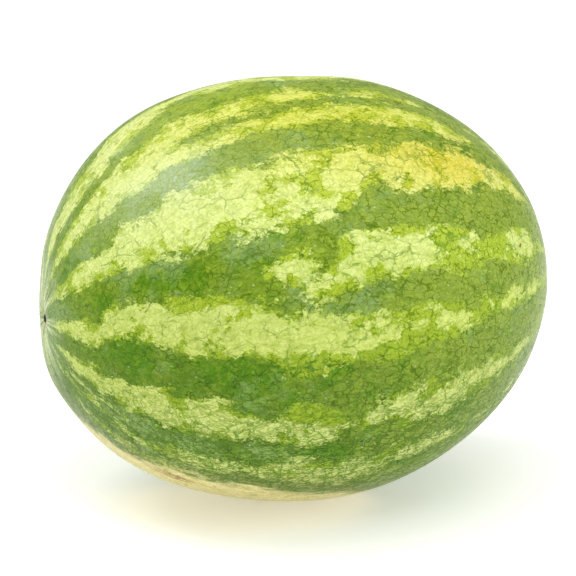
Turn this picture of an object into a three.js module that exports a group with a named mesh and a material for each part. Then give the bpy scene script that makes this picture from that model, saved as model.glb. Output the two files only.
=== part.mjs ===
// A whole round-oval striped watermelon, as picked: one closed fruit that lies on its belly.
// Millimetres, +Z up. The blossom end points to -X, the stem end to +X, and -Y is the front.
// The origin is below the middle of the fruit, on the surface that it rests on.
import * as THREE from 'three';
import { mergeVertices } from 'three/addons/utils/BufferGeometryUtils.js';

// Driving dimensions of the fruit.
const RADIUS = 125;              // half of its greatest thickness
const BLOSSOM_HALF = 149;        // thickest section to blossom end
const STEM_HALF = 152;           // thickest section to stem end
const BLOSSOM_FULLNESS = 2.25;   // 2 is an ellipse, more is a blunter end
const STEM_FULLNESS = 2.02;
const AXIS_TILT = 3.3;           // degrees, blossom end lower
const FOOT_DEPTH = 1.6;          // how far the belly is pressed flat where it rests

// Low lengthwise lobes, one over each double row of seeds, fading out at both ends.
const LOBE_COUNT = 10;
const LOBE_HEIGHT = 0.45;
const LOBE_TURN = 20;            // degrees from the front to the first crest

// Slow unevenness of the growing fruit. Each swelling is centred at an angle around the fruit
// (degrees, 0 at the front and 90 on top) and a place along it (-1 blossom end, 1 stem end).
const SWELLINGS = [
  { around: -72, along: -0.42, spread: 40, reach: 0.28, height: -2.0 },   // flattened belly
  { around: -85, along: 0.15, spread: 50, reach: 0.30, height: 1.4 },
  { around: -80, along: 0.65, spread: 45, reach: 0.25, height: -0.7 },
  { around: -72, along: -0.90, spread: 40, reach: 0.14, height: 1.4 },    // low front end
  { around: 100, along: -0.62, spread: 45, reach: 0.28, height: 2.9 },    // back
  { around: 100, along: 0.12, spread: 45, reach: 0.16, height: -1.7 },
  { around: 100, along: 0.60, spread: 45, reach: 0.25, height: -1.2 },
  { around: 190, along: 0.35, spread: 50, reach: 0.35, height: 1.4 },     // far flank
  { around: 215, along: -0.30, spread: 45, reach: 0.30, height: -1.2 },
];
const END_FADE = 1.5;            // lobes and swellings fade where the girth is under 1/1.5

// Blossom end: a small pit with shallow furrows running into it and a corky button in it.
const BLOSSOM_PIT = { depth: 2.6, radius: 8 };
const BLOSSOM_FURROWS = { count: 12, depth: 0.35, at: 10, width: 5 };
const BUTTON = { radius: 2.1, height: 1.4, edge: 1.0 };

// The shoulder round the blossom end is uneven: fuller below the pit and flatter above it. Each
// rise is centred at an angle around the fruit and a distance from its axis.
const SHOULDERS = [
  { around: -107, at: 38, spread: 42, width: 21, height: 3.1 },
  { around: 100, at: 26, spread: 60, width: 14, height: -1.4 },
];

// Stem end: a wider pit with furrows and the round, cupped scar that the stalk broke away from.
const STEM_PIT = { depth: 3.6, radius: 15 };
const STEM_FURROWS = { count: 10, depth: 0.6, at: 17, width: 8 };
const SCAR = { radius: 5.5, rim: 0.8, rimWidth: 1.6, cup: 1.3, cupRadius: 3.6 };

// Facets: a subdivided icosahedron, drawn together towards the two ends for their detail.
const SPLITS = 20;
const DRAW_IN = 0.82;

const WELD = 1e-5;               // corners closer than this on the unit sphere are one

const toRadians = THREE.MathUtils.degToRad;
const bell = (x, width) => Math.exp(-((x / width) ** 2));

// Signed smallest turn from one angle to another, in degrees.
function turnBetween(from, to) {
  const turn = THREE.MathUtils.euclideanModulo(to - from + 180, 360);
  return turn - 180;
}

// Height of the slow swellings and the lobes over the plain body of revolution.
function unevenness(around, along) {
  let height = LOBE_HEIGHT * Math.cos(LOBE_COUNT * toRadians(around - LOBE_TURN));
  for (const s of SWELLINGS) {
    height += s.height * bell(turnBetween(s.around, around), s.spread) * bell(along - s.along, s.reach);
  }
  return height;
}

// Furrows that run towards an end, cut where the distance from the axis is near furrows.at.
function furrowDepth(furrows, distance, around) {
  const wave = 0.5 - 0.5 * Math.cos(furrows.count * toRadians(around));
  return furrows.depth * wave * bell(distance - furrows.at, furrows.width);
}

// How far the rind lies inside the plain body at the blossom end.
function blossomSink(distance, around) {
  let rise = BUTTON.height / (1 + Math.exp((distance - BUTTON.radius) / (BUTTON.edge / 4)));
  for (const s of SHOULDERS) {
    rise += s.height * bell(turnBetween(s.around, around), s.spread) * bell(distance - s.at, s.width);
  }
  return BLOSSOM_PIT.depth * bell(distance, BLOSSOM_PIT.radius)
    + furrowDepth(BLOSSOM_FURROWS, distance, around) - rise;
}

// How far the rind lies inside the plain body at the stem end.
function stemSink(distance, around) {
  return STEM_PIT.depth * bell(distance, STEM_PIT.radius)
    + furrowDepth(STEM_FURROWS, distance, around)
    - SCAR.rim * bell(distance - SCAR.radius, SCAR.rimWidth)
    + SCAR.cup * bell(distance, SCAR.cupRadius);
}

// Moves a point of the unit sphere onto the rind. Arc is the turn from the blossom end.
function placeOnRind(point) {
  const plainArc = Math.acos(THREE.MathUtils.clamp(-point.x, -1, 1));
  const arc = plainArc - 0.5 * DRAW_IN * Math.sin(2 * plainArc);
  const angle = Math.atan2(point.z, -point.y);
  const around = THREE.MathUtils.radToDeg(angle);
  const along = -Math.cos(arc);
  const atStem = arc > Math.PI / 2;
  const half = atStem ? STEM_HALF : BLOSSOM_HALF;
  const fullness = atStem ? STEM_FULLNESS : BLOSSOM_FULLNESS;
  const plain = RADIUS * Math.sqrt(Math.max(0, 1 - Math.abs(along) ** fullness));
  const fade = Math.min(1, END_FADE * plain / RADIUS);
  const distance = plain + unevenness(around, along) * fade;
  const sink = atStem ? -stemSink(distance, around) : blossomSink(distance, around);
  point.set(half * along + sink, -distance * Math.cos(angle), distance * Math.sin(angle));
}

// The whole rind as one closed mesh around its own axis, before it is tilted.
function makeRind() {
  const sphere = new THREE.IcosahedronGeometry(1, SPLITS);
  sphere.deleteAttribute('normal');
  sphere.deleteAttribute('uv');
  const rind = mergeVertices(sphere, WELD);
  const places = rind.getAttribute('position');
  const point = new THREE.Vector3();
  for (let i = 0; i < places.count; i += 1) {
    placeOnRind(point.fromBufferAttribute(places, i));
    places.setXYZ(i, point.x, point.y, point.z);
  }
  return rind;
}

// Presses the belly flat where the fruit lies, a little above its lowest point.
function pressFoot(rind) {
  rind.computeBoundingBox();
  const floor = rind.boundingBox.min.z + FOOT_DEPTH;
  const places = rind.getAttribute('position');
  for (let i = 0; i < places.count; i += 1) {
    places.setZ(i, Math.max(floor, places.getZ(i)));
  }
}

const rind = makeRind();
rind.rotateY(-toRadians(AXIS_TILT));
pressFoot(rind);
rind.computeBoundingBox();
const { min, max } = rind.boundingBox;
rind.translate(-(min.x + max.x) / 2, -(min.y + max.y) / 2, -min.z);
rind.computeVertexNormals();

const waxyRind = new THREE.MeshStandardMaterial({ color: 0x7fa83f, roughness: 0.42, metalness: 0 });
const watermelon = new THREE.Mesh(rind, waxyRind);
watermelon.name = 'watermelon';

const fruit = new THREE.Group();
fruit.add(watermelon);

export default fruit;
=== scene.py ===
# A whole round-oval striped watermelon, lying on its belly on a pale table.
# Metres, +Z up. The blossom end points to -X, the stem end to +X, and -Y is the front.
import bpy
import random
from math import cos, pi, radians, sin
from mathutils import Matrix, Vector


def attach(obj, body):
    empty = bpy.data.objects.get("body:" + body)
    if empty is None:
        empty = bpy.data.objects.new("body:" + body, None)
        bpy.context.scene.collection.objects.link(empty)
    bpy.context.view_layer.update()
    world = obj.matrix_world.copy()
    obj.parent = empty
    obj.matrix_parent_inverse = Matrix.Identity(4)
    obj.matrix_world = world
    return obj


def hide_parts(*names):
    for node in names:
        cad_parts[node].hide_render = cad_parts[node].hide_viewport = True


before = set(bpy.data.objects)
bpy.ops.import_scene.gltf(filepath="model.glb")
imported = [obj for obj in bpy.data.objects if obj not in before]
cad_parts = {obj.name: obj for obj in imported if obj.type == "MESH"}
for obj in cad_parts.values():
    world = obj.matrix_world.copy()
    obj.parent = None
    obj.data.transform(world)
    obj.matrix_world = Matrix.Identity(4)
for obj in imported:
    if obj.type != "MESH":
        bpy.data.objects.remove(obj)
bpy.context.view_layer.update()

# ---------------------------------------------------------------------------------------------
# Camera: a little above the fruit and turned towards its blossom end, through a long lens. It
# has no shift, because it looks straight at a point close to the fruit's middle.
CAMERA_TURN = radians(-14.8)
CAMERA_RISE = radians(15)
CAMERA_DISTANCE = 1.5
CAMERA_SIGHT = 50
CAMERA_AIM = Vector((-0.0035, 0.0005, 0.1242))
LENS_MM = 159.6
SENSOR_MM = 36

scene = bpy.context.scene
camera_data = bpy.data.cameras.new("camera")
camera_data.lens = LENS_MM
camera_data.sensor_width = SENSOR_MM
camera_data.clip_end = CAMERA_SIGHT
camera = bpy.data.objects.new("camera", camera_data)
away = Vector((sin(CAMERA_TURN) * cos(CAMERA_RISE), -cos(CAMERA_TURN) * cos(CAMERA_RISE),
               sin(CAMERA_RISE)))
camera.location = CAMERA_AIM + away * CAMERA_DISTANCE
camera.rotation_euler = away.to_track_quat("Z", "Y").to_euler()
scene.collection.objects.link(camera)
scene.camera = camera

# ---------------------------------------------------------------------------------------------
# The rind, which is all that shows of the whole fruit: firm, waxy living skin, grown in one with
# the corky button where the blossom was and the scar where the stalk broke off. Nothing fixes
# it: the fruit lies loose on its belly, which its weight has pressed flat.

# Its form, after the solid's: a body of revolution with swellings, lobes and end pits, in a finer
# mesh. A cube's grid of quads is blown up to a ball and moved onto the rind by one rule.
MM = 0.001
RADIUS = 125 * MM
BLOSSOM_HALF = 149 * MM
STEM_HALF = 152 * MM
BLOSSOM_FULLNESS = 2.25
STEM_FULLNESS = 2.02
AXIS_TILT = radians(3.3)
FOOT_DEPTH = 1.6 * MM
GRID_LINES = 128         # points along each edge of the cube
DRAW_IN = 0.6            # how much the grid is drawn towards the two ends

# Slow swellings: degrees around (0 front, 90 top), share of the half length, spread around in
# degrees, reach along as a share, and height in mm. They and the lobes fade out at the ends,
# where the girth is under 1 / END_FADE of the fruit's.
SWELLINGS = [
    (-72, -0.42, 40, 0.28, -2.0),
    (-85, 0.15, 50, 0.30, 1.4),
    (-80, 0.65, 45, 0.25, -0.7),
    (-72, -0.90, 40, 0.14, 1.4),
    (100, -0.62, 45, 0.28, 2.9),
    (100, 0.12, 45, 0.16, -1.7),
    (100, 0.60, 45, 0.25, -1.2),
    (190, 0.35, 50, 0.35, 1.4),
    (215, -0.30, 45, 0.30, -1.2),
]
END_FADE = 1.5
# Uneven shoulder round the blossom end: degrees around, distance from the axis in mm, spread
# around in degrees, and width and height in mm.
SHOULDERS = [
    (-107, 38, 42, 21, 3.1),
    (100, 26, 60, 14, -1.4),
]
LOBE_COUNT = 10
LOBE_HEIGHT = 0.45 * MM
LOBE_TURN = radians(20)

# Pits, the scar's rim and its cup: depth or height, and spread. Furrows: how many, depth,
# distance from the axis, and spread.
BLOSSOM_PIT = (2.6 * MM, 8 * MM)
BLOSSOM_FURROWS = (12, 0.35 * MM, 10 * MM, 5 * MM)
BUTTON_RADIUS = 2.1 * MM
BUTTON_HEIGHT = 1.4 * MM
BUTTON_EDGE = 1.0 * MM
STEEPEST = 40.0          # keeps the exponent of the button's edge within range
STEM_PIT = (3.6 * MM, 15 * MM)
STEM_FURROWS = (10, 0.6 * MM, 17 * MM, 8 * MM)
SCAR_RADIUS = 5.5 * MM
SCAR_RIM = (0.8 * MM, 1.6 * MM)
SCAR_CUP = (1.3 * MM, 3.6 * MM)


def wire(tree, kind, *inputs, **settings):
    """Adds a node with its settings, fills its inputs in order and returns its first output."""
    made = tree.nodes.new(kind)
    for name, value in settings.items():
        setattr(made, name, value)
    sockets = [socket for socket in made.inputs if socket.enabled]
    for socket, value in zip(sockets, inputs):
        if isinstance(value, bpy.types.NodeSocket):
            tree.links.new(value, socket)
        elif value is not None:
            socket.default_value = value
    return next(socket for socket in made.outputs if socket.enabled)


MATH = "ShaderNodeMath"
VECTOR = "ShaderNodeVectorMath"


def bell(tree, offset, width):
    """exp(-(offset / width) ** 2), one soft hump."""
    share = wire(tree, MATH, offset, width, operation="DIVIDE")
    square = wire(tree, MATH, share, share, operation="MULTIPLY")
    below = wire(tree, MATH, square, -1.0, operation="MULTIPLY")
    return wire(tree, MATH, below, operation="EXPONENT")


def hump_at(tree, around, centre, spread):
    """One soft hump around the fruit, centre and spread being in degrees."""
    turn = wire(tree, MATH, around, float(centre), operation="SUBTRACT")
    turn = wire(tree, MATH, turn, 180.0, -180.0, operation="WRAP")
    return bell(tree, turn, float(spread))


def furrows_cut(tree, distance, angle, furrows):
    """Depth of the furrows that run into one end of the fruit."""
    count, depth, at, width = furrows
    wave = wire(tree, MATH, wire(tree, MATH, angle, float(count), operation="MULTIPLY"),
                operation="COSINE")
    wave = wire(tree, MATH, wave, -0.5 * depth, 0.5 * depth, operation="MULTIPLY_ADD")
    near = bell(tree, wire(tree, MATH, distance, at, operation="SUBTRACT"), width)
    return wire(tree, MATH, wave, near, operation="MULTIPLY")


form = bpy.data.node_groups.new("fruit_form", "GeometryNodeTree")
form_inputs = {}
for name, value in (("Radius", RADIUS), ("Blossom half", BLOSSOM_HALF), ("Stem half", STEM_HALF),
                    ("Blossom fullness", BLOSSOM_FULLNESS), ("Stem fullness", STEM_FULLNESS),
                    ("Axis tilt", AXIS_TILT), ("Foot depth", FOOT_DEPTH), ("Draw in", DRAW_IN)):
    socket = form.interface.new_socket(name, in_out="INPUT", socket_type="NodeSocketFloat")
    form_inputs[socket.identifier] = value
grid_socket = form.interface.new_socket("Grid lines", in_out="INPUT", socket_type="NodeSocketInt")
form_inputs[grid_socket.identifier] = GRID_LINES
skin_socket = form.interface.new_socket("Skin", in_out="INPUT", socket_type="NodeSocketMaterial")
form.interface.new_socket("Fruit", in_out="OUTPUT", socket_type="NodeSocketGeometry")
given = form.nodes.new("NodeGroupInput").outputs

# A ball of quads: each cube face is spread by equal angles.
cube = wire(form, "GeometryNodeMeshCube", (2.0, 2.0, 2.0), given["Grid lines"], given["Grid lines"],
            given["Grid lines"])
cube_place = wire(form, "GeometryNodeInputPosition")
quarter = wire(form, VECTOR, cube_place, pi / 4, operation="SCALE")
ball = wire(form, VECTOR, wire(form, VECTOR, quarter, operation="TANGENT"), operation="NORMALIZE")
ball_x, ball_y, ball_z = wire(form, "ShaderNodeSeparateXYZ", ball).node.outputs

# Turn from the blossom end along the fruit, and the angle around it.
to_blossom = wire(form, MATH, ball_x, -1.0, operation="MULTIPLY")
plain_arc = wire(form, MATH, to_blossom, operation="ARCCOSINE")
twice = wire(form, MATH, wire(form, MATH, plain_arc, 2.0, operation="MULTIPLY"), operation="SINE")
drawn = wire(form, MATH, wire(form, MATH, given["Draw in"], -0.5, operation="MULTIPLY"), twice,
             operation="MULTIPLY")
arc = wire(form, MATH, plain_arc, drawn, operation="ADD")
front = wire(form, MATH, ball_y, -1.0, operation="MULTIPLY")
angle = wire(form, MATH, ball_z, front, operation="ARCTAN2")
around = wire(form, MATH, angle, operation="DEGREES")

# The plain body of revolution.
along = wire(form, MATH, wire(form, MATH, arc, operation="COSINE"), -1.0, operation="MULTIPLY")
at_stem = wire(form, MATH, along, 0.0, operation="GREATER_THAN")
half = wire(form, "ShaderNodeMix", at_stem, given["Blossom half"], given["Stem half"])
fullness = wire(form, "ShaderNodeMix", at_stem, given["Blossom fullness"], given["Stem fullness"])
share_along = wire(form, MATH, along, operation="ABSOLUTE")
power = wire(form, MATH, share_along, fullness, operation="POWER")
left = wire(form, MATH, 1.0, power, operation="SUBTRACT", use_clamp=True)
girth = wire(form, MATH, left, operation="SQRT")
plain = wire(form, MATH, girth, given["Radius"], operation="MULTIPLY")

# Lobes and slow swellings, fading out at both ends.
crest = wire(form, MATH, angle, LOBE_TURN, operation="SUBTRACT")
lobe = wire(form, MATH, wire(form, MATH, crest, float(LOBE_COUNT), operation="MULTIPLY"),
            operation="COSINE")
height = wire(form, MATH, lobe, LOBE_HEIGHT, operation="MULTIPLY")
for centre, station, spread, reach, rise in SWELLINGS:
    shift = wire(form, MATH, along, station, operation="SUBTRACT")
    hump = wire(form, MATH, hump_at(form, around, centre, spread), bell(form, shift, reach),
                operation="MULTIPLY")
    height = wire(form, MATH, hump, rise * MM, height, operation="MULTIPLY_ADD")
fade = wire(form, MATH, girth, END_FADE, operation="MULTIPLY", use_clamp=True)
distance = wire(form, MATH, height, fade, plain, operation="MULTIPLY_ADD")

# Blossom end: pit, furrows, the raised corky button and the uneven shoulder.
pit = wire(form, MATH, bell(form, distance, BLOSSOM_PIT[1]), BLOSSOM_PIT[0],
           furrows_cut(form, distance, angle, BLOSSOM_FURROWS), operation="MULTIPLY_ADD")
edge = wire(form, MATH, wire(form, MATH, distance, BUTTON_RADIUS, operation="SUBTRACT"),
            BUTTON_EDGE / 4, operation="DIVIDE")
slope = wire(form, MATH, wire(form, MATH, edge, STEEPEST, operation="MINIMUM"),
             operation="EXPONENT")
button = wire(form, MATH, BUTTON_HEIGHT, wire(form, MATH, slope, 1.0, operation="ADD"),
              operation="DIVIDE")
blossom_sink = wire(form, MATH, pit, button, operation="SUBTRACT")
for centre, off, spread, width, rise in SHOULDERS:
    shift = wire(form, MATH, distance, off * MM, operation="SUBTRACT")
    hump = wire(form, MATH, hump_at(form, around, centre, spread), bell(form, shift, width * MM),
                operation="MULTIPLY")
    blossom_sink = wire(form, MATH, hump, -rise * MM, blossom_sink, operation="MULTIPLY_ADD")

# Stem end: wider pit, furrows, and the rimmed and cupped scar of the stalk.
hollow = wire(form, MATH, bell(form, distance, STEM_PIT[1]), STEM_PIT[0],
              furrows_cut(form, distance, angle, STEM_FURROWS), operation="MULTIPLY_ADD")
rim = bell(form, wire(form, MATH, distance, SCAR_RADIUS, operation="SUBTRACT"), SCAR_RIM[1])
rimmed = wire(form, MATH, rim, -SCAR_RIM[0], hollow, operation="MULTIPLY_ADD")
stem_sink = wire(form, MATH, bell(form, distance, SCAR_CUP[1]), SCAR_CUP[0], rimmed,
                 operation="MULTIPLY_ADD")
stem_shift = wire(form, MATH, stem_sink, -1.0, operation="MULTIPLY")
sink = wire(form, "ShaderNodeMix", at_stem, blossom_sink, stem_shift)

# On the rind, then tilted, pressed flat at the foot and set down on the origin. The place on the
# fruit before it is tilted is kept in mm as the attribute fruit_place, for the finish.
rind_x = wire(form, MATH, half, along, sink, operation="MULTIPLY_ADD")
back = wire(form, MATH, wire(form, MATH, angle, operation="COSINE"), -1.0, operation="MULTIPLY")
rind_y = wire(form, MATH, back, distance, operation="MULTIPLY")
rind_z = wire(form, MATH, wire(form, MATH, angle, operation="SINE"), distance, operation="MULTIPLY")
rind_place = wire(form, "ShaderNodeCombineXYZ", rind_x, rind_y, rind_z)
lean = wire(form, MATH, given["Axis tilt"], -1.0, operation="MULTIPLY")
tilted = wire(form, "ShaderNodeVectorRotate", rind_place, (0.0, 0.0, 0.0), lean,
              rotation_type="Y_AXIS")
place_mm = wire(form, VECTOR, rind_place, 1 / MM, operation="SCALE")
placed = wire(form, "GeometryNodeStoreNamedAttribute", cube, None, "fruit_place", place_mm,
              data_type="FLOAT_VECTOR", domain="POINT")
body = wire(form, "GeometryNodeSetPosition", placed, None, tilted)
lowest = wire(form, "GeometryNodeBoundBox", body).node.outputs["Min"]
low_z = wire(form, "ShaderNodeSeparateXYZ", lowest).node.outputs["Z"]
floor_z = wire(form, MATH, low_z, given["Foot depth"], operation="ADD")
now_place = wire(form, "GeometryNodeInputPosition")
now_x, now_y, now_z = wire(form, "ShaderNodeSeparateXYZ", now_place).node.outputs
pressed = wire(form, MATH, now_z, floor_z, operation="MAXIMUM")
pressed_place = wire(form, "ShaderNodeCombineXYZ", now_x, now_y, pressed)
rested = wire(form, "GeometryNodeSetPosition", body, None, pressed_place)
bounds = wire(form, "GeometryNodeBoundBox", rested).node.outputs
middle = wire(form, VECTOR, wire(form, VECTOR, bounds["Min"], bounds["Max"], operation="ADD"),
              (-0.5, -0.5, 0.0), operation="MULTIPLY")
drop = wire(form, VECTOR, bounds["Min"], (0.0, 0.0, -1.0), operation="MULTIPLY")
to_origin = wire(form, VECTOR, middle, drop, operation="ADD")
moved = wire(form, "GeometryNodeSetPosition", rested, None, None, to_origin)
smooth = wire(form, "GeometryNodeSetShadeSmooth", moved)
real = wire(form, "GeometryNodeRealizeInstances", smooth)
skinned = wire(form, "GeometryNodeSetMaterial", real, None, given["Skin"])
form.links.new(skinned, form.nodes.new("NodeGroupOutput").inputs["Fruit"])

# Its finish: living skin under thin natural wax, which gives a soft low gloss. Ragged dark stripes
# run from end to end of a pale ground with lime edges and blotches. A net of small cells steps
# their edges, and fine veins, finer lines and a few wider cracks cross both. Lengths are in mm.
rind_skin = bpy.data.materials.new("waxy_rind")
rind_skin.use_nodes = True
skin = rind_skin.node_tree
skin_shader = skin.nodes["Principled BSDF"]
MIX = "ShaderNodeMix"            # share, first, second
NOISE = "ShaderNodeTexNoise"     # place, scale as 1 over a size in mm, detail, roughness
RANGE = "ShaderNodeMapRange"     # value, low, high, and what they become, 0 and 1 if not given
VORONOI = "ShaderNodeTexVoronoi"
RADIUS_MM = RADIUS / MM
HALF_MM = (BLOSSOM_HALF + STEM_HALF) / 2 / MM
MERIDIAN_MM = 138        # length along the rind for each radian of turn from end to end
GATHER = 0.4             # how much the pattern is gathered together towards the ends


def srgb(code):
    """An sRGB hex colour as linear red, green, blue and alpha."""
    parts = [int(code[i:i + 2], 16) / 255 for i in (1, 3, 5)]
    return (*(p / 12.92 if p <= 0.04045 else ((p + 0.055) / 1.055) ** 2.4 for p in parts), 1.0)


def wander(tree, place, size, reach, detail=2.0):
    """Moves a place about by up to reach mm, in swirls of the given size in mm."""
    swirl = wire(tree, NOISE, place, 1 / size, detail, 0.5)
    offset = wire(tree, VECTOR, swirl.node.outputs["Color"], (0.5, 0.5, 0.5), operation="SUBTRACT")
    return wire(tree, VECTOR, offset, (2 * reach,) * 3, place, operation="MULTIPLY_ADD")


def patches(tree, place, size, low, high, detail=3.0, rough=0.55):
    """Natural patches about size mm across: 1 inside, 0 outside, soft between low and high."""
    cloud = wire(tree, NOISE, place, 1 / size, detail, rough)
    return wire(tree, RANGE, cloud, low, high, interpolation_type="SMOOTHSTEP")


def turn_and_angle(tree, place):
    """Degrees from the blossom end, and degrees around from the front, of a place on the map."""
    on_x, on_y, on_z = wire(tree, "ShaderNodeSeparateXYZ", place).node.outputs
    turn = wire(tree, MATH, on_x, 180 / (MERIDIAN_MM * pi), operation="MULTIPLY")
    front = wire(tree, MATH, on_y, -1.0, operation="MULTIPLY")
    angle_on = wire(tree, MATH, on_z, front, operation="ARCTAN2")
    return turn, wire(tree, MATH, angle_on, operation="DEGREES")


def mark(tree, turn, angle, at_turn, at_angle, long, wide):
    """One soft oval mark on the rind, long and wide being half its size in degrees."""
    off_turn = wire(tree, MATH, turn, float(at_turn), operation="SUBTRACT")
    return wire(tree, MATH, bell(tree, off_turn, float(long)), hump_at(tree, angle, at_angle, wide),
                operation="MULTIPLY")


# Where a point is, on a map of the rind: along the fruit by turn from the blossom end, and across
# it as on the fruit, gathered together a little towards both ends.
fruit_place = wire(skin, "ShaderNodeAttribute", attribute_name="fruit_place").node.outputs["Vector"]
fruit_x, fruit_y, fruit_z = wire(skin, "ShaderNodeSeparateXYZ", fruit_place).node.outputs
across = wire(skin, "ShaderNodeCombineXYZ", 0.0, fruit_y, fruit_z)
off_axis = wire(skin, VECTOR, across, operation="LENGTH")
flat_off = wire(skin, MATH, off_axis, RADIUS_MM, operation="DIVIDE")
flat_x = wire(skin, MATH, fruit_x, -HALF_MM, operation="DIVIDE")
skin_arc = wire(skin, MATH, flat_off, flat_x, operation="ARCTAN2")
gather = wire(skin, MATH, wire(skin, MATH, RADIUS_MM, off_axis, operation="DIVIDE"), GATHER,
              operation="POWER")
map_y = wire(skin, MATH, fruit_y, gather, operation="MULTIPLY")
map_z = wire(skin, MATH, fruit_z, gather, operation="MULTIPLY")
map_x = wire(skin, MATH, skin_arc, float(MERIDIAN_MM), operation="MULTIPLY")
rind_map = wire(skin, "ShaderNodeCombineXYZ", map_x, map_y, map_z)
skin_turn, skin_angle = turn_and_angle(skin, rind_map)

# The net of cells: uneven, 2 to 4 mm across, a little longer than wide. Its map wanders in slow
# swirls and in small ones: size, reach and detail.
CELL = (3.4, 2.7, 2.7)
SLOW_SWIRLS = (22, 3.5)
SMALL_SWIRLS = (4, 1.3, 3.0)
STEPPING = 0.45          # how far a stripe's edge keeps to whole cells
net_map = wander(skin, wander(skin, rind_map, *SLOW_SWIRLS), *SMALL_SWIRLS)
net_place = wire(skin, VECTOR, net_map, CELL, operation="DIVIDE")
cells = wire(skin, VORONOI, net_place, 1.0).node.outputs
edge_chance, light_chance, speck_chance = wire(skin, "ShaderNodeSeparateColor",
                                               cells["Color"]).node.outputs
cell_centre = wire(skin, VECTOR, cells["Position"], CELL, operation="MULTIPLY")
stepped = wire(skin, MIX, STEPPING, net_map, cell_centre, data_type="VECTOR")

# The light bands between the dark stripes, from the back down: (turn from the blossom end, middle
# of the band around the fruit, half its width), in degrees. A half width below nothing closes it.
LIGHT_BANDS = [
    # along the back
    [(3, 88, -4), (9, 88, 2), (16, 87, 4), (25, 86, 7), (38, 83.5, 7.2), (50, 87, 7), (58, 90, 5.4),
     (66, 93, 4.5), (78, 93, 5), (95, 94, 5), (112, 94, 3), (125, 92, 2), (145, 90, 4),
     (165, 88, 4), (174, 88, -4)],
    # the upper shoulder, thinning to a line
    [(3, 64, -4), (9, 64, 1.5), (15, 63, 3.5), (22, 62.5, 5.2), (32, 62.5, 6.4), (45, 63, 7.4),
     (53, 64.5, 8.2), (58, 66.5, 8.6), (64, 72, 4.8), (70, 73, 3.7), (78, 74.3, 3.4),
     (88, 76.5, 3.2), (97, 77, 2), (110, 78, 1.4), (122, 76, 0), (140, 72, 2), (160, 70, 4),
     (174, 70, -4)],
    # the branch below it
    [(44, 60, -3), (50, 60.5, 2), (60, 61, 3.6), (70, 61.5, 3.2), (78, 62.5, 2.8), (88, 65.8, 3.4),
     (105, 66.5, 4.4), (118, 66, 4.2), (127, 64, 2), (134, 64, -4)],
    # the widest, high on the front
    [(3, 37, -4), (9, 37, 0.5), (16, 37, 4), (25, 37, 6.5), (35, 36.5, 6), (44, 37.5, 7.5),
     (55, 39.5, 9), (72, 41, 9), (85, 42, 9), (93, 43.5, 8), (99, 46.5, 5.5), (112, 47, 5.6),
     (127, 47.5, 5), (140, 48, 3.6), (152, 46, 1.5), (165, 42, 4), (174, 40, -4)],
    # an island in the middle of the front
    [(71, 20.5, -5), (75, 20.5, 1.6), (80, 20.8, 3.2), (84, 20.5, 1.6), (88, 20.5, -6)],
    # across the middle of the front
    [(3, 7, -4), (9, 7, 1.5), (17, 6.5, 4), (22, 6, 6), (30, 6, 6.5), (35, 9.5, 6.6),
     (42, 11, 6.6), (52, 10, 7.6), (58, 8.5, 8.2), (66, 7.3, 8.8), (72, 5.6, 8.4), (78, 3, 7.8),
     (84, 1.5, 7.2), (92, 1, 6.6), (100, 1, 5.2), (113, 1.5, 4.6), (123, 2, 2), (136, 3, 3),
     (150, 2, 3), (165, 0, 4), (174, 0, -4)],
    # above it, on the stem half alone
    [(78, 12.5, -6), (82, 12.8, 1.6), (87, 16.5, 4.4), (92, 20.5, 6.5), (100, 22, 6),
     (110, 22.5, 6.2), (118, 21.5, 5.6), (127, 21, 4.6), (134, 21, 5.6), (141, 22, 7),
     (150, 21, 3), (165, 18, 3), (172, 18, -4)],
    # low on the front
    [(3, -18, -4), (9, -17, 1.5), (17, -17, 3.5), (24, -18, 5.5), (35, -19.5, 6), (50, -20, 6.8),
     (64, -21, 6.4), (73, -23.2, 4.4), (79, -21.8, 6.6), (86, -22, 5.8), (90.5, -23, 0.5),
     (95, -20.8, 4), (105, -20.6, 5.4), (118, -20.5, 5.5), (130, -20.5, 4.4), (142, -20, 3),
     (158, -20, 4), (174, -20, -4)],
    # a thread in the stripe below it
    [(18, -29, -4), (24, -29, 1.3), (34, -30.5, 1.3), (42, -31, -3)],
    # the lowest whole band
    [(4, -42, -4), (14, -40, 1), (30, -37, 1), (45, -40.5, 1), (52, -40.5, 3.2), (62, -40, 4),
     (68, -40, 2.5), (78, -40, 5.4), (88, -41, 6), (95, -40.2, 4.8), (103, -38.4, 4.2),
     (112, -40, 2.4), (126, -40, 0.8), (150, -42, 2.5), (174, -42, -4)],
    # a thread beside the ground spot, and a short band on the stem half's belly
    [(22, -48, -4), (30, -49, 1.5), (44, -49.5, 2), (56, -49, 1), (66, -48, -3)],
    [(96, -62, -6), (104, -63, 1.5), (118, -62, 3.6), (132, -64, 2.4), (146, -63, 4.6),
     (160, -62, 3), (174, -62, -4)],
]

# The far side's bands follow the same rule of width and spacing, by a seeded draw.
FAR_MIDDLES = range(116, 286, 23)
FAR_TURNS = (9, 20, 35, 50, 66, 82, 98, 114, 130, 146, 162)
FAR_SWAY = 2.5
FAR_HALF_WIDTHS = (2.5, 8)
band_draw = random.Random(7)
for middle in FAR_MIDDLES:
    stations = [(3, middle, -4)]
    for turn in FAR_TURNS:
        swayed = middle + band_draw.uniform(-FAR_SWAY, FAR_SWAY)
        stations.append((turn, swayed, band_draw.uniform(*FAR_HALF_WIDTHS)))
    LIGHT_BANDS.append(stations + [(174, middle, -4)])

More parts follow.
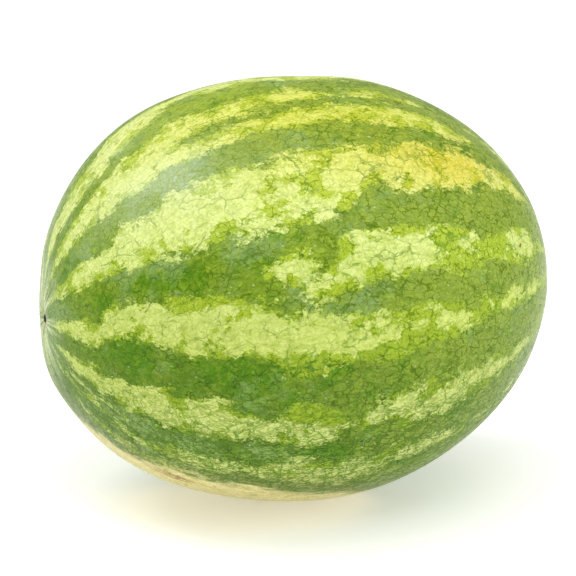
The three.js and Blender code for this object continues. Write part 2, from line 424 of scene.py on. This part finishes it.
# The band field: degrees inside the nearest light band, negative in the dark stripes.
CURVE_SPAN = 36.0        # degrees of angle or half width that a curve's height of 1 stands for
FAR_FROM_LIGHT = -30.0   # the deepest that a stripe gets, in degrees
bands = bpy.data.node_groups.new("light_bands", "ShaderNodeTree")
bands.interface.new_socket("Place", in_out="INPUT", socket_type="NodeSocketVector")
bands.interface.new_socket("Inside", in_out="OUTPUT", socket_type="NodeSocketFloat")
at_turn, at_angle = turn_and_angle(bands, bands.nodes.new("NodeGroupInput").outputs["Place"])
turn_share = wire(bands, MATH, at_turn, 1 / 180, operation="MULTIPLY")
inside = FAR_FROM_LIGHT
for stations in LIGHT_BANDS:
    base = stations[0][1]
    heights = []
    for column in (1, 2):
        zero = base if column == 1 else 0
        height = wire(bands, "ShaderNodeFloatCurve", 1.0, turn_share)
        line = height.node.mapping.curves[0]
        while len(line.points) < len(stations):
            line.points.new(0.5, 0.5)
        for point, station in zip(line.points, stations):
            point.location = (station[0] / 180, 0.5 + (station[column] - zero) / CURVE_SPAN)
        height.node.mapping.update()
        heights.append(height)
    offset, width = heights
    drift = wire(bands, MATH, offset, -CURVE_SPAN, 0.5 * CURVE_SPAN - base,
                 operation="MULTIPLY_ADD")
    turn = wire(bands, MATH, wire(bands, MATH, at_angle, drift, operation="ADD"), 180.0, -180.0,
                operation="WRAP")
    reach = wire(bands, MATH, width, CURVE_SPAN, -0.5 * CURVE_SPAN, operation="MULTIPLY_ADD")
    depth = wire(bands, MATH, reach, wire(bands, MATH, turn, operation="ABSOLUTE"),
                 operation="SUBTRACT")
    inside = wire(bands, MATH, depth, inside, operation="MAXIMUM")
bands.links.new(inside, bands.nodes.new("NodeGroupOutput").inputs["Inside"])

band_node = skin.nodes.new("ShaderNodeGroup")
band_node.node_tree = bands
skin.links.new(stepped, band_node.inputs["Place"])

# Ragged edges, in degrees: drifts 22 mm long and 10 mm wide, a chance for each cell, and the
# skin's own grain, which breaks the edges up like lace, most of all low on the fruit.
EDGE_DRIFT = 15.0
EDGE_CHANCE = 1.4
LACE_LOW, LACE_HIGH = 11.0, 5.5
GRAIN_MM = 1.3
long_place = wire(skin, VECTOR, stepped, (1 / 22, 1 / 10, 1 / 10), operation="MULTIPLY")
drifts = wire(skin, NOISE, long_place, 1.0, 5.0, 0.62)
ragged = wire(skin, MATH, wire(skin, MATH, drifts, 0.5, operation="SUBTRACT"), EDGE_DRIFT,
              band_node.outputs["Inside"], operation="MULTIPLY_ADD")
ragged = wire(skin, MATH, wire(skin, MATH, edge_chance, 0.5, operation="SUBTRACT"), EDGE_CHANCE,
              ragged, operation="MULTIPLY_ADD")
grain = wire(skin, NOISE, rind_map, 1 / GRAIN_MM, 4.0, 0.72)
lace = wire(skin, RANGE, fruit_z, -70.0, 10.0, LACE_LOW, LACE_HIGH)
ragged = wire(skin, MATH, wire(skin, MATH, grain, 0.5, operation="SUBTRACT"), lace, ragged,
              operation="MULTIPLY_ADD")

# Towards the blossom end everything is drawn out into fine streaks along the fruit.
STREAK_FINENESS = 38.0   # streaks for each radian around the fruit
EDGE_SOFTNESS = 0.9
round_off = wire(skin, VECTOR, across, operation="NORMALIZE")
ray_y, ray_z = wire(skin, "ShaderNodeSeparateXYZ", round_off).node.outputs[1:]
ray_x = wire(skin, MATH, skin_turn, 1 / 200, operation="MULTIPLY")
ray_place = wire(skin, "ShaderNodeCombineXYZ", ray_x, ray_y, ray_z)
streak_place = wire(skin, VECTOR, ray_place, STREAK_FINENESS, operation="SCALE")
streaks = wire(skin, NOISE, streak_place, 1.0, 3.0, 0.6)
streak_share = wire(skin, RANGE, skin_turn, 14.0, 58.0, 15.0, 0.0)
ragged = wire(skin, MATH, wire(skin, MATH, streaks, 0.5, operation="SUBTRACT"), streak_share,
              ragged, operation="MULTIPLY_ADD")
light = wire(skin, RANGE, ragged, -EDGE_SOFTNESS, EDGE_SOFTNESS, interpolation_type="SMOOTHSTEP")

# Tones change from belly to back and from blossom end to stem end. The sun has bleached the upper
# front to yellow in one long patch and, near the stem end, in a short strong one, and painted light
# from above makes the top of the back the lightest.
SUN_TURN_SWIRL = 36.0    # degrees by which the swirls move the bleached patches
SUN_ANGLE_SWIRL = -26.0
SUN_SWIRL_MM = 28
flank_share = wire(skin, RANGE, fruit_z, -10.0, 85.0, interpolation_type="SMOOTHSTEP")
back_share = wire(skin, RANGE, fruit_z, -75.0, 95.0, interpolation_type="SMOOTHSTEP")
stem_share = wire(skin, RANGE, skin_turn, 62.0, 116.0, interpolation_type="SMOOTHSTEP")
sun_swirl = wire(skin, NOISE, stepped, 1 / SUN_SWIRL_MM, 5.0, 0.65)
sun_turn = wire(skin, MATH, sun_swirl, SUN_TURN_SWIRL, skin_turn, operation="MULTIPLY_ADD")
sun_angle = wire(skin, MATH, sun_swirl, SUN_ANGLE_SWIRL, skin_angle, operation="MULTIPLY_ADD")
sunned = mark(skin, sun_turn, sun_angle, 108, 56, 42, 25)
bleached = mark(skin, sun_turn, sun_angle, 140, 37, 25, 12)
# painted light: the top of the back is lightened where the lamps above would light it most
painted_top_light = mark(skin, skin_turn, skin_angle, 68, 82, 26, 14)

# The light ground is lime green where it is thin: along its edges, in blotches, and at the stem
# end. These marks are thinner or, below nothing, riper: (turn, angle, half length, half width, by
# how many degrees).
THIN_MARKS = [
    (84, 43, 10, 5, 5), (83, -16.5, 7, 4, 7), (20, 40, 8, 5, 5), (104, 2, 6, 6, 5),
    (90, 23, 5, 4, 3), (80, 20.8, 4, 3, -4), (84, 13, 4, 3, -3), (58, 34, 14, 4, -3),
    (86, 34, 8, 3, -2.5), (86, 3, 8, 4, -2.5), (80, -25, 7, 3, -3), (82, -41, 12, 5, -2),
    (121, 21, 3, 4, -1.5), (96, 18, 4, 5, 2.5), (116, 21, 3, 6, 3), (127, 20, 4, 6, 3.5),
    (67, 15.5, 7, 3, 4), (68, 10.5, 7, 1.6, 4), (31, 13, 4, 3, 4), (88, -19, 6, 3, 3),
    (52, 86, 14, 5, -3), (36.5, 2.5, 3, 2.5, 5), (57, 14, 4, 2, 4), (61, 8, 3, 1.5, 5),
    (73, 5, 2.5, 1.5, 3), (77, 42, 5, 3, 3), (104, 51, 4, 3.5, 5),
]
THIN_PATCH_MM = 17
LOOSE_STEPPING = 0.3     # how far blotches keep to whole cells
BLEACHED_RIPER = 3.0
RIPE_LOW, RIPE_HIGH = -0.9, 1.6
loose = wire(skin, MIX, LOOSE_STEPPING, net_map, cell_centre, data_type="VECTOR")
thin = wire(skin, NOISE, loose, 1 / THIN_PATCH_MM, 5.0, 0.62)
needed = wire(skin, RANGE, thin, 0.46, 0.66, -0.4, 8.5)
stem_thin = wire(skin, RANGE, skin_turn, 132.0, 158.0, 0.0, 2.5)
for at_turn, at_angle, long, wide, more in THIN_MARKS:
    there = mark(skin, skin_turn, skin_angle, at_turn, at_angle, long, wide)
    needed = wire(skin, MATH, there, float(more), needed, operation="MULTIPLY_ADD")
ripeness = wire(skin, MATH, wire(skin, MATH, ragged, needed, operation="SUBTRACT"), stem_thin,
                operation="SUBTRACT")
ripeness = wire(skin, MATH, bleached, BLEACHED_RIPER, ripeness, operation="MULTIPLY_ADD")
ripe = wire(skin, RANGE, ripeness, RIPE_LOW, RIPE_HIGH, interpolation_type="SMOOTHSTEP")

# The dark stripes' green, the lime of the edges, and the pale ground.
STEM_PALER = 0.7
dark_tone = wire(skin, MIX, back_share, srgb("#5B7E18"), srgb("#829F28"), data_type="RGBA")
dark_tone = wire(skin, MIX, wire(skin, MATH, stem_share, STEM_PALER, operation="MULTIPLY"),
                 dark_tone, srgb("#95A93C"), data_type="RGBA")
dark_tone = wire(skin, MIX, sunned, dark_tone, srgb("#8A9D2C"), data_type="RGBA")
# painted light on the top of the back, over the dark stripes
dark_tone = wire(skin, MIX, painted_top_light, dark_tone, srgb("#94AA2A"), data_type="RGBA")
lime_tone = wire(skin, MIX, back_share, srgb("#8BA622"), srgb("#B4CB36"), data_type="RGBA")
lime_tone = wire(skin, MIX, sunned, lime_tone, srgb("#B6C22E"), data_type="RGBA")
lime_tone = wire(skin, MIX, bleached, lime_tone, srgb("#CDC636"), data_type="RGBA")
pale_tone = wire(skin, MIX, flank_share, srgb("#CEDC72"), srgb("#E3F096"), data_type="RGBA")
belly_share = wire(skin, RANGE, fruit_z, -50.0, -10.0, 1.0, 0.0)
pale_tone = wire(skin, MIX, belly_share, pale_tone, srgb("#C8D37C"), data_type="RGBA")
# painted light on the top of the back, over the pale ground
pale_tone = wire(skin, MIX, painted_top_light, pale_tone, srgb("#F0F6A2"), data_type="RGBA")
pale_tone = wire(skin, MIX, sunned, pale_tone, srgb("#D8DB5E"), data_type="RGBA")
pale_tone = wire(skin, MIX, bleached, pale_tone, srgb("#E2D657"), data_type="RGBA")

# The pale ground is curdled with lime.
CURD_MM = 5.5
CURD_STRENGTH = 0.42
curds = patches(skin, loose, CURD_MM, 0.42, 0.66, 4.0, 0.65)
pale_tone = wire(skin, MIX, wire(skin, MATH, curds, CURD_STRENGTH, operation="MULTIPLY"),
                 pale_tone, lime_tone, data_type="RGBA")

# Dark stripes: dull grey-green and deep green patches about 20 mm across, under a mottle of cells.
# The marks gather the patches: (turn, angle, half length, half width), in degrees.
DULL_MARKS = [(17, 20, 5, 7), (50, -33, 28, 7), (46, -50, 24, 7), (92, 9.5, 7, 4),
              (79, 13.5, 5, 4), (48, 28, 12, 3), (72, 28, 10, 4)]
DEEP_MARKS = [(55, 24, 19, 5), (23, 46, 7, 4), (42, 2, 8, 5), (66, -6, 36, 7), (86, -31, 11, 5)]
GATHERED = 0.2
PATCH_STRENGTH = 0.8
MOTTLE_MM = 4.6
MOTTLE_STRENGTH = 0.3
cloud = wire(skin, NOISE, loose, 1 / 22, 5.0, 0.62)
deep_place = wire(skin, VECTOR, loose, (90.0, 0.0, 0.0), operation="ADD")
deep_cloud = wire(skin, NOISE, deep_place, 1 / 20, 5.0, 0.62)
for marks, patch, tone_there in ((DEEP_MARKS, deep_cloud, "#508208"),
                                 (DULL_MARKS, cloud, "#85A254")):
    for at_turn, at_angle, long, wide in marks:
        there = mark(skin, skin_turn, skin_angle, at_turn, at_angle, long, wide)
        patch = wire(skin, MATH, there, GATHERED, patch, operation="MULTIPLY_ADD")
    share = wire(skin, RANGE, patch, 0.52, 0.72, 0.0, PATCH_STRENGTH,
                 interpolation_type="SMOOTHSTEP")
    dark_tone = wire(skin, MIX, share, dark_tone, srgb(tone_there), data_type="RGBA")
mottle_place = wire(skin, VECTOR, net_map, (0.0, 70.0, 0.0), operation="ADD")
mottled = patches(skin, mottle_place, MOTTLE_MM, 0.46, 0.66, 4.0, 0.68)
dark_tone = wire(skin, MIX, wire(skin, MATH, mottled, MOTTLE_STRENGTH, operation="MULTIPLY"),
                 dark_tone, lime_tone, data_type="RGBA")
cell_light = wire(skin, RANGE, light_chance, 0.0, 1.0, 0.95, 1.07)
dark_tone = wire(skin, VECTOR, dark_tone, cell_light, operation="SCALE")

tone = wire(skin, MIX, light, dark_tone, lime_tone, data_type="RGBA")
tone = wire(skin, MIX, ripe, tone, pale_tone, data_type="RGBA")

# A thin whitish bloom of wax on the shoulder by the blossom end, fainter on the back, and over it a
# painted sheen that stands for the upper left soft box's reflection. Both show more on the stripes
# than on the light ground.
BLOOM_AND_SHEEN_ON_BACK = 0.55
BLOOM_AND_SHEEN_ON_DARK, BLOOM_AND_SHEEN_ON_LIGHT = 0.75, 0.42
bloom_and_sheen = wire(skin, RANGE, cloud, 0.35, 0.65, 0.35, 1.0)
back_bloom_and_sheen = mark(skin, skin_turn, skin_angle, 47, 80, 17, 7)
# painted sheen: this mark is partly wax bloom and partly a painted reflection of the key box
shoulder_bloom_and_sheen = mark(skin, skin_turn, skin_angle, 54, 53, 20, 13)
bloom_and_sheen_marks = wire(skin, MATH, back_bloom_and_sheen, BLOOM_AND_SHEEN_ON_BACK, shoulder_bloom_and_sheen, operation="MULTIPLY_ADD")
bloom_and_sheen = wire(skin, MATH, bloom_and_sheen, bloom_and_sheen_marks, operation="MULTIPLY")
bloom_and_sheen_shows = wire(skin, RANGE, light, 0.0, 1.0, BLOOM_AND_SHEEN_ON_DARK, BLOOM_AND_SHEEN_ON_LIGHT)
bloom_and_sheen = wire(skin, MATH, bloom_and_sheen, bloom_and_sheen_shows, operation="MULTIPLY")
# the whitish tones of the wax bloom and its painted sheen
bloom_and_sheen_tone = wire(skin, MIX, light, srgb("#B6C78C"), srgb("#E4F0C4"), data_type="RGBA")
tone = wire(skin, MIX, bloom_and_sheen, tone, bloom_and_sheen_tone, data_type="RGBA")

# Where the fruit lay on the ground its belly stayed cream, with a dulled and streaked edge, and
# was rubbed brown in a few places: (turn, angle, half length, half width), in degrees.
SPOT_SWIRL = 20.0        # degrees by which the streaks move the edge
RUBS = [(41, -56, 4.0, 1.2), (54, -57, 5.0, 1.3), (33, -60, 3.0, 1.0)]
streaked_place = wire(skin, VECTOR, rind_map, (1 / 30, 1 / 8, 1 / 8), operation="MULTIPLY")
spot_swirl = wire(skin, NOISE, streaked_place, 1.0, 5.0, 0.6)
spot_angle = wire(skin, MATH, wire(skin, MATH, spot_swirl, 0.5, operation="SUBTRACT"), SPOT_SWIRL,
                  skin_angle, operation="MULTIPLY_ADD")
spot = mark(skin, skin_turn, spot_angle, 66, -77, 37, 27)
dulled = wire(skin, RANGE, spot, 0.08, 0.36, 0.0, 0.55)
tone = wire(skin, MIX, dulled, tone, srgb("#A6A664"), data_type="RGBA")
lain = wire(skin, RANGE, spot, 0.31, 0.43, interpolation_type="SMOOTHSTEP")
cream = wire(skin, MIX, curds, srgb("#E4D98C"), srgb("#D2C472"), data_type="RGBA")
for at_turn, at_angle, long, wide in RUBS:
    rubbed = mark(skin, skin_turn, spot_angle, at_turn, at_angle, long, wide)
    cream = wire(skin, MIX, rubbed, cream, srgb("#9A7434"), data_type="RGBA")
tone = wire(skin, MIX, lain, tone, cream, data_type="RGBA")

# At the blossom end every mark is drawn out into grey-green rays.
RAY_FINENESS = 4.5       # rays for each radian around the fruit
RAYS_WHOLE, RAYS_GONE = 6.0, 18.0
ray = patches(skin, ray_place, 1 / RAY_FINENESS, 0.44, 0.56, 3.0, 0.66)
ray_tone = wire(skin, MIX, ray, srgb("#749440"), srgb("#D6E098"), data_type="RGBA")
blossom_share = wire(skin, RANGE, skin_turn, RAYS_WHOLE, RAYS_GONE, 0.95, 0.0)
tone = wire(skin, MIX, blossom_share, tone, ray_tone, data_type="RGBA")

# A few cells hold a small pale corky speck.
SPECK_ABOVE = 0.96       # the chance that a cell's draw has to pass
speck = wire(skin, MATH, wire(skin, RANGE, cells["Distance"], 0.12, 0.30, 0.6, 0.0),
             wire(skin, MATH, speck_chance, SPECK_ABOVE, operation="GREATER_THAN"),
             operation="MULTIPLY")
tone = wire(skin, MIX, speck, tone, srgb("#CBD88C"), data_type="RGBA")

# The skin's grain: dark grains are deeper green and pale ones paler, and more so in the stripes.
# What each tone is multiplied by, in red, green and blue:
STRIPE_GRAIN = (0.74, 0.79, 0.0), (1.27, 1.23, 2.5)
GROUND_GRAIN = (0.84, 0.87, 0.5), (1.16, 1.14, 1.55)
grain_step = wire(skin, RANGE, grain, 0.28, 0.72)
dark_grain = wire(skin, MIX, grain_step, *STRIPE_GRAIN, data_type="VECTOR")
pale_grain = wire(skin, MIX, grain_step, *GROUND_GRAIN, data_type="VECTOR")
grain_tone = wire(skin, MIX, ripe, dark_grain, pale_grain, data_type="VECTOR")
grained = wire(skin, VECTOR, tone, grain_tone, operation="MULTIPLY")

# Veins: an uneven net of their own, 4 to 6 mm across, of thin wandering lines that swell and
# break off. They are faint on the pale ground, except low on the fruit, and hardly show through
# the bloom with its painted sheen or on the ground spot.
VEIN_CELL = (5.6, 4.4, 4.4)
VEIN_SWIRLS = (3.0, 1.6, 3.0)
VEIN_PATCH_MM = 8
VEIN_SWELL = 0.1         # the widest half of a vein, as a share of a cell
VEIN_SWELL_LOW = 0.008   # and how much more, low on the fruit
VEIN_ON_STRIPE, VEIN_ON_STEM_STRIPE = 0.85, 1.0
VEIN_ON_GROUND, VEIN_ON_LOW_GROUND = 0.34, 0.8
VEIN_IN_STRIPE = (0.46, 0.54, 0.06)
VEIN_IN_GROUND = (0.28, 0.42, 0.16)
vein_map = wander(skin, net_map, *VEIN_SWIRLS)
vein_place = wire(skin, VECTOR, vein_map, VEIN_CELL, operation="DIVIDE")
vein_edge = wire(skin, VORONOI, vein_place, 1.0, feature="DISTANCE_TO_EDGE")
vein_patch = wire(skin, NOISE, rind_map, 1 / VEIN_PATCH_MM, 4.0, 0.7)
low_share = wire(skin, RANGE, fruit_z, -55.0, -15.0, 1.0, 0.0)
vein_reach = wire(skin, RANGE, vein_patch, 0.38, 0.68, 0.0, VEIN_SWELL)
vein_reach = wire(skin, MATH, low_share, VEIN_SWELL_LOW, vein_reach, operation="MULTIPLY_ADD")
past_vein = wire(skin, MATH, vein_edge, vein_reach, operation="SUBTRACT")
vein_line = wire(skin, RANGE, past_vein, -0.035, 0.015, 1.0, 0.0)
pale_depth = wire(skin, MIX, low_share, VEIN_ON_GROUND, VEIN_ON_LOW_GROUND)
dark_depth = wire(skin, RANGE, stem_share, 0.0, 1.0, VEIN_ON_STRIPE, VEIN_ON_STEM_STRIPE)
vein_depth = wire(skin, MIX, ripe, dark_depth, pale_depth)
veil = wire(skin, MATH, bloom_and_sheen, lain, operation="MAXIMUM")
unveiled = wire(skin, RANGE, veil, 0.0, 0.45, 1.0, 0.2)
vein = wire(skin, MATH, vein_line, wire(skin, MATH, vein_depth, unveiled, operation="MULTIPLY"),
            operation="MULTIPLY")
vein_shade = wire(skin, MIX, ripe, VEIN_IN_STRIPE, VEIN_IN_GROUND, data_type="VECTOR")
vein_tone = wire(skin, VECTOR, grained, vein_shade, operation="MULTIPLY")
veined = wire(skin, MIX, vein, grained, vein_tone, data_type="RGBA")

# Finer worm-like lines wander between them, drawn out along the fruit and deepest low on it.
WORM_MM = (9, 4.2, 4.2)
WORM_CORE = 0.012        # half the width of the darkest part, in the noise's own height
WORM_WIDE, WORM_THIN = 0.09, 0.03
WORM_DEPTH_LOW, WORM_DEPTH_HIGH = 0.9, 0.26
WORM_SHADE = (0.34, 0.43, 0.14)
worm_place = wire(skin, VECTOR, vein_map, tuple(1 / size for size in WORM_MM), operation="MULTIPLY")
worm = wire(skin, MATH, wire(skin, NOISE, worm_place, 1.0, 4.0, 0.66), 0.5, operation="SUBTRACT")
worm_reach = wire(skin, RANGE, vein_patch, 0.35, 0.65, WORM_WIDE, WORM_THIN)
off_worm = wire(skin, MATH, worm, operation="ABSOLUTE")
worm_line = wire(skin, RANGE, off_worm, WORM_CORE, worm_reach, 1.0, 0.0)
worm_depth = wire(skin, RANGE, fruit_z, -70.0, 0.0, WORM_DEPTH_LOW, WORM_DEPTH_HIGH)
worm_depth = wire(skin, MATH, worm_depth, unveiled, operation="MULTIPLY")
worm_share = wire(skin, MATH, worm_line, worm_depth, operation="MULTIPLY")
worm_tone = wire(skin, VECTOR, veined, WORM_SHADE, operation="MULTIPLY")
wormed = wire(skin, MIX, worm_share, veined, worm_tone, data_type="RGBA")

# A wider broken net of deeper cracks: everywhere low on the fruit, and in patches above.
CRACK_CELL = (14.0, 9.0, 9.0)
CRACK_PATCH_MM = 14
CRACK_ABOVE = 0.7
CRACK_CORE, CRACK_EDGE = 0.012, 0.05
CRACK_DEPTH = 0.9
crack_place = wire(skin, VECTOR, vein_map, CRACK_CELL, operation="DIVIDE")
crack_edge = wire(skin, VORONOI, crack_place, 1.0, feature="DISTANCE_TO_EDGE")
crack_patch = patches(skin, rind_map, CRACK_PATCH_MM, 0.46, 0.58)
crack_where = wire(skin, MATH, wire(skin, MATH, crack_patch, CRACK_ABOVE, operation="MULTIPLY"),
                   low_share, operation="MAXIMUM")
crack_line = wire(skin, RANGE, crack_edge, CRACK_CORE, CRACK_EDGE, CRACK_DEPTH, 0.0)
crack = wire(skin, MATH, crack_line, crack_where, operation="MULTIPLY")
crack_tone = wire(skin, MIX, light, srgb("#4F7610"), srgb("#5F861E"), data_type="RGBA")
cracked = wire(skin, MIX, wire(skin, MATH, crack, unveiled, operation="MULTIPLY"), wormed,
               crack_tone, data_type="RGBA")

# Small injuries and a painted edge: a long dry scratch low on the blossom side, a short split in
# three strokes and a corky fleck, and a faint painted line that marks the edge of a soft box's
# painted reflection across the bloom. Each line runs between two places, by turn and angle, with
# half its width, all in degrees, its tone and how strong it is.
INJURIES_AND_SHEEN_EDGE = [
    ((23.5, -27.5), (38.0, -32.5), 0.35, "#4A6020", 0.65),
    ((46.5, 14.2), (48.5, 17.2), 0.20, "#4A6A12", 0.7),
    ((48.5, 17.2), (50.4, 18.6), 0.22, "#4A6A12", 0.7),
    ((48.6, 17.0), (52.0, 16.6), 0.18, "#4A6A12", 0.5),
    # painted reflection: this faint line is the edge of the upper left soft box's painted sheen
    ((36.8, 42.0), (39.6, 62.0), 0.45, "#6F8A4A", 0.45),
    ((139.3, 21.2), (139.6, 21.8), 0.55, "#7A4E1E", 0.9),
]
MARK_LINE_SWIRLS = (1.6, 0.6)
MARK_LINE_CORE, MARK_LINE_EDGE = 0.4, 1.6
mark_line_place = wire(skin, "ShaderNodeCombineXYZ", skin_turn, skin_angle, 0.0)
mark_line_place = wander(skin, mark_line_place, *MARK_LINE_SWIRLS)
injuries_and_sheen_edge = cracked
for start, end, wide, tone_there, strength in INJURIES_AND_SHEEN_EDGE:
    along_it = Vector(end) - Vector(start)
    offset = wire(skin, VECTOR, mark_line_place, (*start, 0.0), operation="SUBTRACT")
    per_length = (*(along_it / along_it.length_squared), 0.0)
    share = wire(skin, VECTOR, offset, per_length, operation="DOT_PRODUCT")
    share = wire(skin, MATH, share, 1.0, operation="MULTIPLY", use_clamp=True)
    nearest = wire(skin, VECTOR, (*along_it, 0.0), share, operation="SCALE")
    aside = wire(skin, VECTOR, wire(skin, VECTOR, offset, nearest, operation="SUBTRACT"),
                 operation="LENGTH")
    mark_line_share = wire(skin, RANGE, aside, MARK_LINE_CORE * wide, MARK_LINE_EDGE * wide, strength, 0.0)
    injuries_and_sheen_edge = wire(skin, MIX, mark_line_share, injuries_and_sheen_edge, srgb(tone_there), data_type="RGBA")

# Cork: the dark button at the blossom end with its tan edge, and the stalk's dry scar. Each fades
# out between two distances from the axis.
BUTTON_FADE = (2.5, 3.2)
TAN_FADE = (3.0, 5.4)
SCAR_FADE = (5.8, 6.8)
SCAR_HEART = (1.5, 4.5)
at_blossom = wire(skin, MATH, fruit_x, 0.0, operation="LESS_THAN")
at_stem_end = wire(skin, MATH, fruit_x, 0.0, operation="GREATER_THAN")
tan_edge = wire(skin, MATH, wire(skin, RANGE, off_axis, *TAN_FADE, 0.75, 0.0), at_blossom,
                operation="MULTIPLY")
corked = wire(skin, MIX, tan_edge, injuries_and_sheen_edge, srgb("#C2A878"), data_type="RGBA")
button = wire(skin, MATH, wire(skin, RANGE, off_axis, *BUTTON_FADE, 1.0, 0.0), at_blossom,
              operation="MULTIPLY")
corked = wire(skin, MIX, button, corked, srgb("#3A2410"), data_type="RGBA")
scar_tone = wire(skin, MIX, wire(skin, RANGE, off_axis, *SCAR_HEART), srgb("#5A4428"),
                 srgb("#A88F5E"), data_type="RGBA")
scar_tone = wire(skin, VECTOR, scar_tone, wire(skin, RANGE, grain, 0.3, 0.7, 0.7, 1.2),
                 operation="SCALE")
scar = wire(skin, MATH, wire(skin, RANGE, off_axis, *SCAR_FADE, 1.0, 0.0), at_stem_end,
            operation="MULTIPLY")
corked = wire(skin, MIX, scar, corked, scar_tone, data_type="RGBA")
skin.links.new(corked, skin_shader.inputs["Base Color"])

# The wax lies thinner along veins and in small patches, which breaks up the gloss. Veins and
# cracks are a touch sunken, the skin between them is finely pitted, and all of it swells slowly.
WAX_ROUGHNESS = (0.24, 0.36)
WAX_PATCH_MM = 9
LINE_ROUGHER = 0.1
LINE_SUNK = -0.06        # heights here are in mm
PITTING = 0.05
SWELL = 0.5
SWELL_MM = 16
wax = wire(skin, NOISE, rind_map, 1 / WAX_PATCH_MM, 4.0, 0.6)
wax_rough = wire(skin, RANGE, wax, 0.3, 0.7, *WAX_ROUGHNESS)
lines = wire(skin, MATH, vein_line, crack, operation="ADD")
roughness = wire(skin, MATH, lines, LINE_ROUGHER, wax_rough, operation="MULTIPLY_ADD")
skin.links.new(roughness, skin_shader.inputs["Roughness"])
pitted = wire(skin, MATH, grain, PITTING, operation="MULTIPLY")
sunken = wire(skin, MATH, lines, LINE_SUNK, pitted, operation="MULTIPLY_ADD")
swell_place = wire(skin, NOISE, rind_map, 1 / SWELL_MM, 2.0, 0.5)
skin_height = wire(skin, MATH, swell_place, SWELL, sunken, operation="MULTIPLY_ADD")
skin_bump = wire(skin, "ShaderNodeBump", 1.0, MM, None, skin_height)
skin.links.new(skin_bump, skin_shader.inputs["Normal"])
skin_shader.inputs["Specular IOR Level"].default_value = 0.09
skin_shader.inputs["Coat Weight"].default_value = 0.03
skin_shader.inputs["Coat Roughness"].default_value = 0.12

# The rind is grown once from its tree, with the finish on it, and kept as a plain mesh.
grown = bpy.data.objects.new("growing", bpy.data.meshes.new("growing"))
scene.collection.objects.link(grown)
growth = grown.modifiers.new("form", "NODES")
growth.node_group = form
for identifier, value in form_inputs.items():
    growth[identifier] = value
growth[skin_socket.identifier] = rind_skin
evaluated = grown.evaluated_get(bpy.context.evaluated_depsgraph_get())
rind_mesh = bpy.data.meshes.new_from_object(evaluated)
rind = bpy.data.objects.new("watermelon_rind", rind_mesh)
scene.collection.objects.link(rind)
grown.modifiers.remove(growth)
bpy.data.objects.remove(grown)

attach(rind, "root")
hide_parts("watermelon")

# ---------------------------------------------------------------------------------------------
# Studio: a pale matt table top that glows a little, so that the shadow on it stays light, under a
# bright dome. Three soft boxes light the fruit from its upper left, from above and from its
# right, and a wide one hangs over the table behind it.
TABLE_REACH = 8
TABLE_GLOW = 0.32
DOME_STRENGTH = 0.46
WHITE = (1.0, 1.0, 1.0, 1.0)
# Name, direction to it in degrees (turn from the front towards +X, rise), distance, width and
# height in metres, and power in watts.
SOFT_BOXES = [
    ("key_box", -112, 56, 2.2, 1.0, 1.3, 21.5),
    ("top_box", 15, 68, 2.4, 2.4, 1.8, 28),
    ("fill_box", 60, 24, 2.6, 2.4, 1.6, 16.5),
]
BACKDROP_PLACE = (0.9, 3.6, 1.6)
BACKDROP_SIZE = (6, 3)
BACKDROP_WATTS = 36
BACKDROP_SPREAD = radians(110)

scene.view_settings.view_transform = "Standard"
floor_mesh = bpy.data.meshes.new("table_top")
floor_mesh.from_pydata([(-TABLE_REACH, -TABLE_REACH, 0), (TABLE_REACH, -TABLE_REACH, 0),
                        (TABLE_REACH, TABLE_REACH, 0), (-TABLE_REACH, TABLE_REACH, 0)], [],
                       [(0, 1, 2, 3)])
floor = bpy.data.objects.new("table_top", floor_mesh)
scene.collection.objects.link(floor)
table_paint = bpy.data.materials.new("matt_table_paint")
table_paint.use_nodes = True
table_shader = table_paint.node_tree.nodes["Principled BSDF"]
table_shader.inputs["Base Color"].default_value = srgb("#F7F7F5")
table_shader.inputs["Roughness"].default_value = 0.9
table_shader.inputs["Specular IOR Level"].default_value = 0.1
table_shader.inputs["Emission Color"].default_value = WHITE
table_shader.inputs["Emission Strength"].default_value = TABLE_GLOW
floor_mesh.materials.append(table_paint)

world = bpy.data.worlds.new("studio")
world.use_nodes = True
scene.world = world
dome = world.node_tree.nodes["Background"]
dome.inputs["Color"].default_value = WHITE
dome.inputs["Strength"].default_value = DOME_STRENGTH

backdrop_data = bpy.data.lights.new("backdrop_box", "AREA")
backdrop_data.shape = "RECTANGLE"
backdrop_data.size, backdrop_data.size_y = BACKDROP_SIZE
backdrop_data.energy = BACKDROP_WATTS
backdrop_data.spread = BACKDROP_SPREAD
backdrop_box = bpy.data.objects.new("backdrop_box", backdrop_data)
backdrop_box.location = BACKDROP_PLACE
scene.collection.objects.link(backdrop_box)
for name, turn, rise, reach, wide, tall, watts in SOFT_BOXES:
    box_light = bpy.data.lights.new(name, "AREA")
    box_light.shape = "RECTANGLE"
    box_light.size = wide
    box_light.size_y = tall
    box_light.energy = watts
    box = bpy.data.objects.new(name, box_light)
    to_box = Vector((sin(radians(turn)) * cos(radians(rise)),
                     -cos(radians(turn)) * cos(radians(rise)), sin(radians(rise))))
    box.location = CAMERA_AIM + to_box * reach
    box.rotation_euler = to_box.to_track_quat("Z", "Y").to_euler()
    scene.collection.objects.link(box)
